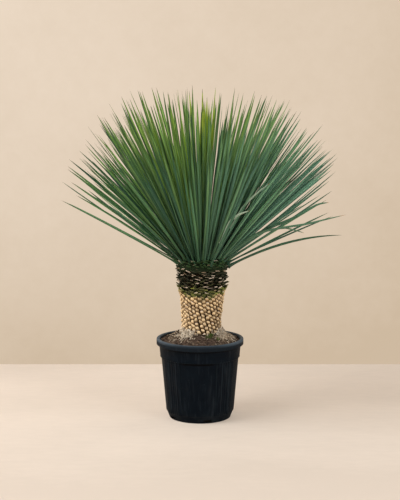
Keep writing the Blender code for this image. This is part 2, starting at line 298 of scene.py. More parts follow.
def leaf_finish(name, young=0.0):
    """A stiff fibrous leaf: blue-green and bloomed when old, yellow-green when young; its bloom also stands
    for painted light on the crown's right side, and painted shade darkens it towards its foot and on one half
    of the blade.
    """
    leaf = Finish(name, specular=0.26)
    along = leaf.mark("along")
    across = leaf.mark("across")
    tone = leaf.mark("tone")
    youth = leaf.mark("youth")
    side = abs(across)
    stripes = leaf.mottle(leaf.join(across * 9.0, along * 2.2, tone * 60.0), 1.0, 3.0, 0.6)
    clouds = leaf.mottle(leaf.join(across * 0.7, along * 7.0, tone * 90.0), 1.0, 3.0, 0.5)
    green = youth + (tone - 0.5) * 0.50 + (clouds - 0.5) * 0.70 + (along - 0.4) * youth * 0.45
    leaf.colour = leaf.ramp(
        green,
        (0.00, (0.040, 0.115, 0.074)),
        (0.30, (0.066, 0.186, 0.084)),
        (0.58, (0.150, 0.305, 0.062)),
        (1.00, (0.360, 0.560, 0.040)),
    )
    # Waxy bloom, partly painted light: it is strongest on the crown's right side
    leaf.coat(leaf.mark("bloom"), (0.200, 0.420, 0.325))
    leaf.coat((stripes - 0.35).at_least(0.0) * 1.1, (0.085, 0.215, 0.090))
    leaf.coat((0.55 - tone).at_least(0.0) * 1.35, (0.008, 0.034, 0.020))
    leaf.coat((tone - 0.55).at_least(0.0) * 1.0, (0.150, 0.330, 0.150))
    # Painted shade: each leaf darker towards its foot, where the leaves crowd round the stem
    leaf.coat(along.falls(0.02, 0.42) * 0.55, (0.006, 0.024, 0.012))
    # Painted shade: one half of each blade darker than the other
    leaf.coat(across.falls(-0.15, 0.15) * (0.20 + tone * 0.40), (0.012, 0.052, 0.030))
    leaf.coat(side.falls(0.04, 0.20) * 0.20, (0.120, 0.250, 0.090))
    leaf.coat(side.rises(0.84, 0.98) * tone.rises(0.45, 0.85) * 0.55, (0.230, 0.310, 0.080))
    rust = clouds.rises(0.66, 0.74) * stripes.rises(0.50, 0.62)
    leaf.coat(rust * 0.45, (0.200, 0.130, 0.035))
    if young:
        leaf.coat(young, (0.260, 0.400, 0.030))
        leaf.coat((along + (tone - 0.5) * 0.2).rises(0.80, 0.97) * 0.6, (0.400, 0.470, 0.040))
    else:
        leaf.coat(along.rises(0.80, 0.96) * 0.50, (0.020, 0.070, 0.022))
    dry = (along + (tone - 0.5) * 0.05).rises(0.972, 0.998)
    leaf.coat(dry, (0.085, 0.078, 0.026))
    roughness = 0.48 + stripes * 0.16 + dry * 0.2
    return leaf.done(roughness, leaf.bump(stripes, 0.0012, 0.6))


def dead_leaf_finish():
    """A leaf that has bent over, bleached along its length and rusty at its tip."""
    leaf = Finish("bleached_leaf", specular=0.35)
    along = leaf.mark("along")
    across = leaf.mark("across")
    tone = leaf.mark("tone")
    stripes = leaf.mottle(leaf.join(across * 7.0, along * 2.0, tone * 40.0), 1.0, 3.0, 0.6)
    leaf.colour = leaf.mix(tone, (0.050, 0.150, 0.085), (0.390, 0.510, 0.400))
    leaf.coat(stripes.rises(0.35, 0.7) * 0.4, (0.110, 0.190, 0.095))
    leaf.coat(abs(across).rises(0.7, 0.95) * tone * 0.5, (0.360, 0.340, 0.180))
    leaf.coat(along.rises(0.93, 0.985), (0.380, 0.170, 0.045))
    return leaf.done(0.5 + stripes * 0.2, leaf.bump(stripes, 0.0012, 0.6))


def leaf_base_finish():
    """The cut leaf bases: tan and corky low on the stem, then olive, nearly black, and green at the crown."""
    base = Finish("leaf_bases", specular=0.25)
    along = base.mark("along")
    across = base.mark("across")
    tone = base.mark("tone")
    zone = base.mark("zone")
    end = base.mark("end")
    grain = base.mottle(base.place(1.0, 1.0, 0.25), 900.0, 4.0, 0.65)
    blotches = base.mottle(base.place(), 95.0, 4.0, 0.6)
    threads = base.mottle(base.join(across * 5.0, along * 1.2, tone * 80.0), 1.0, 4.0, 0.7)
    skin = base.ramp(
        zone + (blotches - 0.5) * 0.12,
        (0.00, (0.360, 0.215, 0.092)),
        (0.40, (0.340, 0.205, 0.085)),
        (0.50, (0.105, 0.130, 0.022)),
        (0.60, (0.034, 0.050, 0.010)),
        (0.72, (0.012, 0.019, 0.006)),
        (0.86, (0.014, 0.032, 0.009)),
        (1.00, (0.024, 0.078, 0.020)),
    )
    face = base.ramp(
        zone + (tone - 0.5) * 0.10,
        (0.00, (0.940, 0.705, 0.420)),
        (0.40, (0.920, 0.660, 0.360)),
        (0.50, (0.300, 0.330, 0.060)),
        (0.60, (0.110, 0.110, 0.034)),
        (0.72, (0.028, 0.026, 0.014)),
        (0.86, (0.022, 0.034, 0.012)),
        (1.00, (0.034, 0.090, 0.026)),
    )
    # Painted shade: each leaf base darkens towards the stem, in the gaps between them
    gap_shade = base.mix(zone.rises(0.44, 0.62), (0.022, 0.012, 0.006), (0.003, 0.005, 0.002))
    skin = base.mix(along.falls(0.15, 0.80) * 0.90, skin, gap_shade)
    low = zone.falls(0.30, 0.50)
    pale = (end + along * low * 0.45 + (threads - 0.5) * 0.35).rises(0.24, 0.80)
    base.colour = base.mix(pale, skin, face)
    tip = (end + (threads - 0.5) * 1.2).rises(0.66, 0.96)
    dried = base.mix(tone, (0.400, 0.270, 0.160), (0.820, 0.660, 0.520))
    base.coat(tip * base.mark("pale"), dried)
    brown = base.mix(zone.rises(0.44, 0.62), (0.110, 0.062, 0.026), (0.006, 0.010, 0.004))
    base.coat((0.36 - tone).at_least(0.0) * 1.3, brown)
    base.coat(threads.falls(0.30, 0.48) * zone.falls(0.44, 0.62) * 0.5, (0.090, 0.048, 0.020))
    base.coat(grain.falls(0.36, 0.52) * 0.45, (0.060, 0.034, 0.016))
    height = grain * 0.4 + threads
    return base.done(0.72 + grain * 0.25, base.bump(height, 0.0016, 0.8))


def bark_finish():
    """The stem under its leaf bases: dark, fibrous and dry."""
    bark = Finish("stem_fibre", specular=0.15)
    fibres = bark.mottle(bark.place(1.0, 1.0, 0.15), 420.0, 5.0, 0.7)
    patches = bark.mottle(bark.place(), 60.0, 3.0, 0.5)
    bark.colour = bark.ramp(fibres, (0.30, (0.010, 0.006, 0.003)), (0.75, (0.090, 0.050, 0.022)))
    bark.coat(patches.rises(0.5, 0.7) * 0.5, (0.020, 0.020, 0.008))
    bark.coat(bark.axis("Z").rises(0.530, 0.562) * 0.92, (0.007, 0.020, 0.006))
    return bark.done(0.9 - fibres * 0.1, bark.bump(fibres, 0.002))


def soil_finish():
    """Moist bark-and-peat mix with paler grit in it, and painted shade low down."""
    soil = Finish("bark_and_peat_mix", specular=0.2)
    lumps = soil.mottle(soil.place(), 130.0, 6.0, 0.65)
    grit = soil.cells(soil.place(), 420.0)
    patches = soil.mottle(soil.place(), 26.0, 3.0, 0.5)
    soil.colour = soil.ramp(
        lumps,
        (0.28, (0.018, 0.011, 0.008)),
        (0.46, (0.058, 0.036, 0.025)),
        (0.62, (0.115, 0.076, 0.054)),
        (0.78, (0.230, 0.175, 0.130)),
    )
    soil.coat(patches.rises(0.48, 0.66) * 0.55, (0.110, 0.084, 0.062))
    soil.coat(grit.falls(0.06, 0.16) * 0.6, (0.260, 0.205, 0.150))
    # Painted shade: the mix goes nearly black low in the container, where it shows through the drain slots
    soil.coat(soil.axis("Z").falls(0.030, 0.100) * 0.96, (0.002, 0.002, 0.002))
    return soil.done(0.95 - lumps * 0.15, soil.bump(lumps + grit * 0.4, 0.004))


def chip_finish():
    """Loose bark chips, crumbs and dry flakes, from nearly black to straw."""
    chip = Finish("bark_chips", specular=0.2)
    tone = chip.mark("tone")
    grain = chip.mottle(chip.place(1.0, 1.0, 1.6), 520.0, 4.0, 0.65)
    chip.colour = chip.ramp(
        tone + (grain - 0.5) * 0.16,
        (0.00, (0.014, 0.009, 0.006)),
        (0.35, (0.048, 0.030, 0.020)),
        (0.60, (0.110, 0.072, 0.046)),
        (0.80, (0.290, 0.215, 0.145)),
        (1.00, (0.740, 0.650, 0.520)),
    )
    chip.coat(grain.falls(0.34, 0.50) * 0.45, (0.030, 0.019, 0.012))
    return chip.done(0.78 + grain * 0.2, chip.bump(grain, 0.002))


def root_finish():
    """Pale dry surface roots and leaf fibres."""
    root = Finish("dry_fibres", specular=0.25)
    tone = root.mark("tone")
    grain = root.mottle(root.place(), 700.0, 4.0, 0.6)
    root.colour = root.ramp(
        tone + (grain - 0.5) * 0.3,
        (0.0, (0.160, 0.105, 0.062)),
        (0.5, (0.380, 0.285, 0.190)),
        (1.0, (0.680, 0.580, 0.450)),
    )
    return root.done(0.75 + grain * 0.15, root.bump(grain, 0.001))


def moss_finish():
    moss = Finish("moss", specular=0.3)
    tone = moss.mark("tone")
    along = moss.mark("along")
    grain = moss.mottle(moss.place(), 800.0, 3.0)
    moss.colour = moss.ramp(
        tone + (grain - 0.5) * 0.3,
        (0.0, (0.030, 0.050, 0.010)),
        (0.6, (0.085, 0.130, 0.024)),
        (1.0, (0.200, 0.235, 0.060)),
    )
    moss.coat(along.falls(0.0, 0.5) * 0.6, (0.020, 0.022, 0.008))
    return moss.done(0.7 + grain * 0.2, moss.bump(grain, 0.001))


def plastic_finish():
    """Blue-black moulded polypropylene, streaked by watering and scuffed, with dust and painted sheen on its
    rim, painted highlights on its top edge and panel edges, and painted shadow under its rim and ledge.
    """
    plastic = Finish("container_plastic", specular=0.06)
    height = plastic.axis("Z")
    streaks = plastic.mottle(plastic.place(1.0, 1.0, 0.06), 150.0, 4.0, 0.6)
    runs = plastic.mottle(plastic.place(1.0, 1.0, 0.12), 46.0, 3.0, 0.5)
    cloud = plastic.mottle(plastic.place(), 22.0, 4.0, 0.6)
    scuffs = plastic.mottle(plastic.place(1.0, 1.0, 2.2), 70.0, 6.0, 0.75, 1.2)
    pits = plastic.mottle(plastic.place(), 1400.0, 3.0, 0.6)
    plastic.colour = plastic.ramp(
        cloud,
        (0.30, (0.0006, 0.0026, 0.0054)),
        (0.70, (0.0018, 0.0050, 0.0086)),
    )
    plastic.coat(streaks.rises(0.52, 0.74) * 0.26, (0.024, 0.031, 0.038))
    plastic.coat(runs.rises(0.55, 0.75) * 0.18, (0.034, 0.040, 0.046))
    plastic.coat(scuffs.rises(0.62, 0.72) * 0.34, (0.060, 0.068, 0.074))
    x, y = plastic.axis("X"), plastic.axis("Y")
    angle = y.maths("ARCTAN2", y, x) * (180.0 / math.pi) - math.degrees(FIRST_PANEL)
    turn = (angle + 360.0).maths("MODULO", angle + 360.0, 360.0 / QUARTERS)
    wall = height.rises(FOOT_HEIGHT, FOOT_HEIGHT + 0.02) * height.falls(LEDGE_Z - 0.004, LEDGE_Z - 0.001)
    # Wear along the panels' edges, partly a painted highlight on them
    edge = 0.0
    edge_wear_and_highlight = 0.0
    for (degrees, _, _), wear in zip(PANELS, (0.3, 1.0, 0.8, 0.3)):
        edge += degrees
        edge_wear_and_highlight = abs(turn - edge).falls(0.3, 1.5) * wear + edge_wear_and_highlight
    edge_wear_and_highlight = edge_wear_and_highlight.at_most(1.0) * wall * (0.25 + streaks * 0.9)
    plastic.coat(edge_wear_and_highlight * 0.5, (0.040, 0.050, 0.058))
    # Dust on the rim, partly painted sheen: lighter on its left and right sides, and more on the right
    rim_side_sheen = abs(x).rises(0.30 * RIM_RADIUS, RIM_RADIUS)
    dust_and_sheen = 0.04 + cloud * 0.35 + rim_side_sheen * 0.8 + x.rises(0.04, 0.14) * 0.30
    rim_dust_and_sheen = height.rises(POT_HEIGHT - 0.012, POT_HEIGHT - 0.0015) * dust_and_sheen
    plastic.coat(rim_dust_and_sheen.at_most(1.0), (0.076, 0.102, 0.128))
    # Painted highlight along the rim's top edge, broken up by scuffs
    crest_highlight = height.rises(POT_HEIGHT - 0.0030, POT_HEIGHT - 0.0010) * (0.10 + scuffs * 0.45)
    plastic.coat(crest_highlight, (0.120, 0.150, 0.178))
    lip = height.rises(POT_HEIGHT - RIM_DEPTH - 0.001, POT_HEIGHT - RIM_DEPTH + 0.001)
    plastic.coat(lip * 0.30, (0.018, 0.025, 0.033))
    # Painted shadow under the rim, and under the ledge, most over the wide panels
    under = height.rises(POT_HEIGHT - RIM_DEPTH - 0.009, POT_HEIGHT - RIM_DEPTH - 0.002) * (1 - lip)
    wide = abs(turn - PANELS[0][0] / 2).falls(19.0, 27.0)
    ledge_shadow = abs(height - (LEDGE_Z - 0.004)).falls(0.0020, 0.0055) * (0.15 + wide * 0.85)
    plastic.coat((under + ledge_shadow).at_most(1.0) * 0.95, (0.0001, 0.0002, 0.0004))
    splash = height.falls(0.004, 0.050) * cloud.rises(0.40, 0.62)
    plastic.coat(splash * 0.25, (0.034, 0.036, 0.036))
    roughness = 0.46 + streaks * 0.12 + scuffs * 0.08 + splash * 0.1
    normal = plastic.bump(pits, 0.0004, 0.5)
    return plastic.done(roughness, plastic.bump(cloud, 0.004, 0.35, normal))


# -------------------------------------------------------------- piece building


class Shape:
    """Points, faces, marks and bake strips of one piece, gathered tube by tube."""

    def __init__(self, tubes, columns=1):
        self.columns = columns
        self.lines = math.ceil(tubes / columns)
        self.tubes = 0
        self.points = []
        self.faces = []
        self.strips = []
        self.marks = {}

    def tube(self, rings, **marks):
        """Adds a closed tube through rings of points. A mark is a number, or a function of ring and point."""
        first = len(self.points)
        sides = len(rings[0])
        column = self.tubes % self.columns
        line = self.tubes // self.columns
        self.tubes += 1

        def strip(i, j):
            along = STRIP_END + (1 - 2 * STRIP_END) * i / (len(rings) - 1)
            across = STRIP_MARGIN + (1 - 2 * STRIP_MARGIN) * j / sides
            return ((column + along) / self.columns, (line + across) / self.lines)

        for i, ring in enumerate(rings):
            for j, point in enumerate(ring):
                self.points.append(point)
                for name, mark in marks.items():
                    self.marks.setdefault(name, []).append(mark(i, j) if callable(mark) else mark)
        for i in range(len(rings) - 1):
            low = first + i * sides
            high = low + sides
            for j in range(sides):
                k = (j + 1) % sides
                self.faces.append((low + j, low + k, high + k, high + j))
                self.strips += [strip(i, j), strip(i, j + 1), strip(i + 1, j + 1), strip(i + 1, j)]
        self.faces.append(tuple(first + j for j in reversed(range(sides))))
        self.strips += [strip(0, j) for j in reversed(range(sides))]
        last = first + (len(rings) - 1) * sides
        self.faces.append(tuple(last + j for j in range(sides)))
        self.strips += [strip(len(rings) - 1, j) for j in range(sides)]

    def piece(self, name, material, slot, *nodes, strips=True):
        """The finished object, which stands for those CAD nodes."""
        mesh = bpy.data.meshes.new(name)
        mesh.from_pydata(self.points, [], self.faces)
        if strips:
            layer = mesh.uv_layers.new(name="OFBake")
            layer.data.foreach_set("uv", [number for corner in self.strips for number in corner])
        for mark, numbers in self.marks.items():
            mesh.attributes.new(mark, "FLOAT", "POINT").data.foreach_set("value", numbers)
        mesh.shade_smooth()
        mesh.set_sharp_from_angle(angle=SHARP_OVER)
        mesh.materials.append(material)
        return settle(bpy.data.objects.new(name, mesh), slot, *nodes)


def settle(made, slot, *nodes):
    bpy.context.scene.collection.objects.link(made)
    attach(made, "root")
    if nodes:
        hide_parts(*nodes)
    return made


def pointing(tilt, azimuth):
    """Unit vector at that tilt from the vertical."""
    return Vector((math.sin(tilt) * math.cos(azimuth), math.sin(tilt) * math.sin(azimuth), math.cos(tilt)))


def level(azimuth):
    """Unit vector outwards on the level."""
    return pointing(math.pi / 2, azimuth)


def turns(count):
    """Angles evenly round a circle."""
    return [math.tau * i / count for i in range(count)]


def eased(x, low=0.0, high=1.0):
    """0 below low, 1 above high, and a soft step between them."""
    share = min(1.0, max(0.0, (x - low) / (high - low)))
    return share * share * (3 - 2 * share)


def along_table(table, x):
    """Straight-line reading of a table of (x, y) pairs."""
    for (x0, y0), (x1, y1) in zip(table, table[1:]):
        if x <= x1:
            return y0 + (y1 - y0) * max(0.0, x - x0) / (x1 - x0)
    return table[-1][1]


def stem_axis(z):
    return Vector((STEM_X + STEM_LEAN * (z - MIX_STEM_Z), 0.0, z))


def crown_focus():
    return stem_axis(FOCUS_Z)


def head_distance(tilt):
    """How far the stem's growing head reaches from the focus at that tilt."""
    return HEAD_TOP + (HEAD_SIDE - HEAD_TOP) * (tilt / WIDEST) ** HEAD_SHAPE


# ---------------------------------------------------------------------- leaves


def breadth(share):
    """The blade's width: a clasping base, a neck, the widest part near the middle and a long point."""
    clasp = 1.15 * math.exp(-share / 0.028)
    swell = 0.74 + 0.28 * eased(share, 0.02, 0.50)
    return max(0.012, (swell + clasp) * (1 - share**7) ** 0.95)


def blade_rings(middles, side, twist, half_width):
    """Sections of a blade along its middle line, turned about it by the twist from end to end."""
    rings = []
    last = len(middles) - 1
    for i, (share, middle) in enumerate(zip(STATIONS, middles)):
        ahead = (middles[min(i + 1, last)] - middles[max(i - 1, 0)]).normalized()
        square = (side - ahead * side.dot(ahead)).normalized()
        across = Matrix.Rotation(twist * (share - 0.4), 3, ahead) @ square
        up = ahead.cross(across)
        half = half_width * breadth(share)
        thick = BLADE_HALF_THICKNESS * min(1.0, half / half_width + 0.1)
        rings.append([
            middle + across * half * x + up * (thick * y + KEEL * half * (abs(x) - 0.5))
            for x, y in SECTION
        ])
    return rings


def straight_middles(base, aim, length, sag, side, bow, lift):
    """A nearly straight middle line that keeps its two ends."""
    up = aim.cross(side)
    middles = []
    for share in STATIONS:
        curve = math.sin(math.pi * share) * (side * bow + up * lift)
        middles.append(base + aim * length * share - UP * sag * share**2 + curve)
    return middles


def bent_middles(path):
    """A smooth line through the path's points, at the blade's stations."""
    points = [2 * path[0] - path[1], *path, 2 * path[-1] - path[-2]]
    middles = []
    for share in STATIONS:
        place = share * (len(path) - 1)
        i = min(int(place), len(path) - 2)
        t = place - i
        a, b, c, d = points[i : i + 4]
        square = (2 * a - 5 * b + 4 * c - d) * t**2
        cube = (3 * b - a - 3 * c + d) * t**3
        middles.append(0.5 * (2 * b + (c - a) * t + square + cube))
    return middles


def add_leaf(shape, rings, tone, youth, bloom=0.0):
    shape.tube(
        rings,
        along=lambda i, j: float(STATIONS[i]),
        across=lambda i, j: float(SECTION[j][0]),
        tone=tone,
        youth=youth,
        bloom=bloom,
    )


def up_the_row(row, step):
    """Tilt and azimuth at a step up a row: whole steps are its leaves, oldest first."""
    share = (row + 0.5 + ROWS * step) / (ROWS * LEAVES_PER_ROW)
    rise = LOOSE_RISE * (1 - math.exp(-max(0.0, share) / LOOSE_SHARE)) + (1 - LOOSE_RISE) * share
    height = math.cos(WIDEST) + (math.cos(NARROWEST) - math.cos(WIDEST)) * rise
    return math.acos(height), FIRST_AZIMUTH + row * GOLDEN_ANGLE + step * ROW_TWIST


def shared_lean(outward):
    """The lean that neighbouring leaves share, which draws them together in clumps."""
    place = CLUMP_PLACE + outward * CLUMP_SIZE
    strides = (Vector((0.0, 0.0, CLUMP_STRIDE * axis)) for axis in range(3))
    return Vector(noise.noise(place + stride) for stride in strides) * CLUMP_SHIFT


def add_row_leaf(shape, row, step, slim=1.0):
    tilt, azimuth = up_the_row(row, step)
    outward = pointing(tilt, azimuth)
    start = head_distance(tilt) + LEAF_START
    dice = random.Random(int(GROWTH_SEED + 2 * ROWS * ROWS * (step % 1.0) + ROWS * int(step) + row))
    wander = Vector(dice.gauss(0.0, AIM_SPREAD) for _ in range(3))
    frontness = max(0.0, -math.sin(azimuth))
    upright = pointing(tilt * (1 - FRONT_LIFT * frontness**2), azimuth)
    aim = (upright + shared_lean(outward) + wander).normalized()
    spread = tilt / WIDEST
    shortened = REACH_TURN + SIDE_TURN * math.cos(azimuth)
    fall = 1 / (1 + math.exp((shortened - tilt) / REACH_SOFTNESS))
    reach = (REACH_LONG + (REACH_SHORT - REACH_LONG) * fall) * dice.uniform(SHORTEST_SHARE, 1.0)
    reach *= (1 - SIDE_REACH * spread * math.cos(azimuth)) * (1.0 if slim == 1.0 else SLIM_REACH)
    sag = SAG_MOST * dice.random() * spread**2
    turn = dice.uniform(-1.0, 1.0)
    roll = math.copysign(ROLL_MOST * abs(turn) ** (1 - ROLL_BIAS * spread**2), turn)
    side = Matrix.Rotation(roll, 3, aim) @ UP.cross(aim).normalized()
    base = crown_focus() + outward * start
    bow = dice.uniform(-BOW_MOST, BOW_MOST)
    lift = dice.uniform(-BOW_MOST, BOW_MOST)
    middles = straight_middles(base, aim, reach - start, sag, side, bow, lift)
    twist = dice.uniform(-TWIST_MOST, TWIST_MOST)
    slimmer = OLD_SLIMMER * spread**2 * (0.5 + 1.4 * math.cos(azimuth) ** 2)
    half_width = BLADE_HALF_WIDTH * dice.uniform(0.84, 1.02) * slim * (1 - slimmer)
    rings = blade_rings(middles, side, twist, half_width)
    # Bloom on the older outer leaves, weighted to the crown's right side, where it is also painted light
    bloom = BLOOM_AND_LIGHT_MOST * eased(math.cos(azimuth), -0.5, 0.85) * eased(spread, 0.15, 0.80)
    bloom *= 1 - 0.72 * eased(spread, 0.78, 0.94)
    youth = eased(1 - spread, -0.30, 0.95) * (1 - 0.16 * max(0.0, -math.cos(azimuth)))
    add_leaf(shape, rings, dice.random(), youth, bloom)


def make_leaf_rows(material):
    for row in range(ROWS):
        shape = Shape(LEAVES_PER_ROW + len(SLIM_STEPS))
        for step in range(LEAVES_PER_ROW):
            add_row_leaf(shape, row, step)
        for step in SLIM_STEPS:
            add_row_leaf(shape, row, step + 0.5, SLIM)
        name = f"leaf_row_{row + 1:02d}"
        shape.piece(f"{name}_blades", material, "leaf", name)


# Fresh leaves that stand up in front of the growing point: where they start on the stem's head, how
# their feet fan out with their tips (radians to a metre), and each tip's place in metres
SPEAR_FOOT_TILT = math.radians(38.0)
SPEAR_FOOT_REACH = 0.125
SPEAR_MIDDLE_X = 0.018
SPEAR_FAN = 6.0
SPEAR_TIPS = (
    (0.004, -0.190, 1.118), (0.010, -0.205, 1.142), (0.017, -0.180, 1.158), (0.024, -0.200, 1.172),
    (0.031, -0.185, 1.150), (0.038, -0.205, 1.130), (-0.008, -0.195, 1.090), (0.046, -0.190, 1.098),
    (0.014, -0.215, 1.100),
)


def make_young_leaves(material):
    """The youngest leaves, which stand upright on the stem's growing point."""
    columns, lines = HEART_CELLS
    shape = Shape(columns * lines + len(SPEAR_TIPS))
    dice = random.Random(ROWS)
    looks = random.Random(ROWS + 1)
    for line in range(lines):
        for column in reversed(range(columns)):
            x = (column + 0.5 - columns / 2) * HEART_CELL
            y = (line + 0.5 - lines / 2) * HEART_CELL
            rise = head_distance(0.0) + LEAF_START
            aim = Vector((HEART_SPREAD * x, HEART_SPREAD * y, 1.0)).normalized()
            length = HEART_REACH * dice.uniform(SHORTEST_SHARE, 1.0) - rise
            base = crown_focus() + Vector((x, y, rise))
            side = UP.cross(aim).normalized()
            bow = looks.uniform(-0.004, 0.004)
            middles = straight_middles(base, aim, length, 0.0, side, bow, bow)
            rings = blade_rings(middles, side, looks.uniform(-0.5, 0.5), BLADE_HALF_WIDTH * 0.90)
            add_leaf(shape, rings, looks.random(), 1.0)
    for tip in SPEAR_TIPS:
        tip = Vector(tip)
        azimuth = math.radians(-90.0) + SPEAR_FAN * (tip.x - SPEAR_MIDDLE_X)
        base = crown_focus() + pointing(SPEAR_FOOT_TILT, azimuth) * SPEAR_FOOT_REACH
        aim = (tip - base).normalized()
        side = Matrix.Rotation(looks.uniform(-0.4, 0.4), 3, aim) @ UP.cross(aim).normalized()
        bow = looks.uniform(-0.006, 0.006)
        middles = straight_middles(base, aim, (tip - base).length, 0.0, side, bow, 0.004)
        twist = looks.uniform(-0.3, 0.3)
        rings = blade_rings(middles, side, twist, BLADE_HALF_WIDTH * looks.uniform(0.9, 1.15))
        add_leaf(shape, rings, looks.uniform(0.45, 1.0), 1.0)
    shape.piece("heart_leaf_spears", material, "young_leaf", "heart_leaves")


def make_low_leaves(material):
    """Old leaves that stand out from the stem just below the rows."""
    for number, (azimuth, elevation, length, droop) in enumerate(LOW_LEAVES, 1):
        azimuth = math.radians(azimuth)
        base = crown_focus() + pointing(LOW_LEAF_TILT, azimuth) * (head_distance(LOW_LEAF_TILT) + 0.0016)
        aim = pointing(math.radians(90.0 - elevation), azimuth)
        side = UP.cross(aim).normalized()
        middles = straight_middles(base, aim, length, droop, side, 0.002, 0.0)
        side = Matrix.Rotation(LOW_LEAF_ROLL, 3, aim) @ side
        shape = Shape(1)
        add_leaf(shape, blade_rings(middles, side, 0.5, LOW_LEAF_HALF_WIDTH), 0.3 + 0.1 * number, 0.1)
        shape.piece(f"low_leaf_{number}_blade", material, "leaf", f"low_leaf_{number}")


# Leaves bent over in the crown's right side, each as points in metres from its foot to its tip
BENT_LEAVES = (
    ((0.070, -0.180, 0.663), (0.098, -0.245, 0.741), (0.130, -0.282, 0.775), (0.168, -0.302, 0.792)),
    ((0.105, -0.180, 0.718), (0.143, -0.245, 0.793), (0.185, -0.287, 0.843), (0.234, -0.317, 0.886)),
    (
        (0.085, -0.040, 0.590), (0.150, -0.110, 0.652), (0.214, -0.170, 0.702), (0.290, -0.190, 0.722),
        (0.365, -0.180, 0.732), (0.440, -0.150, 0.746), (0.515, -0.120, 0.760),
    ),
    (
        (0.085, -0.030, 0.600), (0.190, -0.110, 0.684), (0.280, -0.170, 0.718), (0.330, -0.190, 0.712),
        (0.362, -0.200, 0.704),
    ),
    (
        (0.080, -0.050, 0.610), (0.200, -0.120, 0.692), (0.330, -0.160, 0.754), (0.405, -0.160, 0.797),
        (0.452, -0.150, 0.806),
    ),
)
BENT_ROLL = math.radians(-55.0)
# Each bent leaf's half width, and how bleached it is
BENT_LOOKS = ((0.0042, 0.90), (0.0034, 0.66), (0.0052, 0.06), (0.0048, 0.15), (0.0056, 0.0))


def make_bent_leaves(material):
    shape = Shape(len(BENT_LEAVES))
    for path, (half_width, bleached) in zip(BENT_LEAVES, BENT_LOOKS):
        middles = bent_middles([Vector(point) for point in path])
        side = UP.cross(middles[-1] - middles[0]).normalized()
        side = Matrix.Rotation(BENT_ROLL, 3, middles[-1] - middles[0]) @ side
        add_leaf(shape, blade_rings(middles, side, 0.6, half_width), bleached, 0.2)
    shape.piece("bent_leaves", material, "leaf")


# ------------------------------------------------------------------------ stem

# The stem's outside, as (height, radius) over its leaf bases' tips
STEM_OUTSIDE = (
    (0.318, 0.0800), (0.335, 0.0765), (0.353, 0.0755), (0.397, 0.0795), (0.441, 0.0835),
    (0.475, 0.0895), (0.519, 0.0945), (0.552, 0.0990), (0.574, 0.1040), (0.592, 0.0990),
)
# How far the leaf bases stand out of the stem, by height
STANDS_OUT = (
    (0.318, 0.0105), (0.440, 0.0110), (0.480, 0.0150), (0.500, 0.0190), (0.574, 0.0210), (0.592, 0.0130),
)
# How much height each new leaf base gains on the one before, by height
BASE_PITCH = ((0.318, 0.00038), (0.440, 0.00038), (0.490, 0.00040), (0.575, 0.00036))
# The zone of a leaf base by height: 0 tan, 0.5 olive, 0.75 nearly black, 1 green
ZONE = (
    (0.318, 0.0), (0.448, 0.22), (0.466, 0.44), (0.478, 0.53), (0.490, 0.66), (0.520, 0.74), (0.546, 0.80),
    (0.560, 0.95), (0.576, 1.0),
)
# Where the green moves down the stem: azimuth and its spread in degrees, and how far
GREEN_PATCH = (-104.0, 40.0, 0.022)
# The share of leaf bases with a dried-out pale face, by height
PALE_SHARE = ((0.44, 0.30), (0.50, 0.22), (0.52, 0.24), (0.53, 0.42), (0.555, 0.42), (0.566, 0.10))
LOWEST_BASE_Z = 0.316
HIGHEST_BASE_Z = 0.591
# The corky leaf bases under this height stand in columns, which lean except where the stem twists back
TAN_TOP_Z = 0.456
COLUMNS = 30
COLUMN_STEP = 0.0152
COLUMN_STAGGER = 0.5
COLUMN_LEAN = -6.2
STEM_TWIST = 5.0
MIDDLE_Z = 0.385
# A leaf base's outline: share of its length, width and thickness, low on the stem and high on it
KNOB = (
    (0.0, 0.92, 1.0), (0.35, 1.0, 1.0), (0.64, 0.97, 0.95), (0.85, 0.88, 0.84), (0.95, 0.74, 0.68),
    (0.99, 0.55, 0.46), (1.0, 0.06, 0.05),
)
STUB = (
    (0.0, 1.00, 1.2), (0.40, 1.0, 1.1), (0.75, 0.96, 1.0), (0.94, 0.92, 0.95), (0.99, 0.86, 0.80),
    (1.0, 0.50, 0.40), (1.0, 0.06, 0.05),
)
# How far along a leaf base each ring is for its colours, and how much it belongs to the end face
BASE_ALONG = (0.0, 0.35, 0.62, 0.82, 0.94, 0.99, 1.0)
BASE_END = (0.0, 0.0, 0.15, 0.45, 0.85, 1.0, 1.0)
BASE_SIDES = 12


def stem_core_rings():
    heights = [0.240, 0.262, 0.285, 0.300]
    heights += [0.312 + 0.0086 * i for i in range(30)]
    rings = []
    for z in heights:
        radius = along_table(STEM_OUTSIDE, z) - along_table(STANDS_OUT, z) - 0.001
        radius *= 1 - 0.55 * eased(0.300 - z, 0.0, 0.065)
        rings.append((radius, z))
    for degrees in (74.0, 66.0, 56.0, 44.0, 32.0, 20.0, 8.0):
        tilt = math.radians(degrees)
        reach = head_distance(tilt) - 0.001
        rings.append((reach * math.sin(tilt), FOCUS_Z + reach * math.cos(tilt)))
    return rings


def make_stem_core(material):
    shape = Shape(1)
    rings = []
    for radius, z in stem_core_rings():
        centre = stem_axis(min(z, FOCUS_Z))
        ring = []
        for azimuth in turns(72):
            rough = 1 + 0.015 * noise.noise(Vector((9 * math.cos(azimuth), 9 * math.sin(azimuth), 70 * z)))
            ring.append(Vector((centre.x, 0.0, z)) + level(azimuth) * radius * rough)
        rings.append(ring)
    shape.tube(rings)
    shape.piece("stem_core", material, "stem", "stem", strips=False)


def spiral_places():
    """Height, azimuth and sideways lean of the leaf bases under the crown, from its lowest leaf down."""
    places = []
    z = HIGHEST_BASE_Z
    while z > TAN_TOP_Z:
        azimuth = FIRST_AZIMUTH - (len(places) + 1) * GOLDEN_ANGLE
        places.append((z, azimuth + stem_twist(z, azimuth), 0.0))
        z -= along_table(BASE_PITCH, z)
    return places


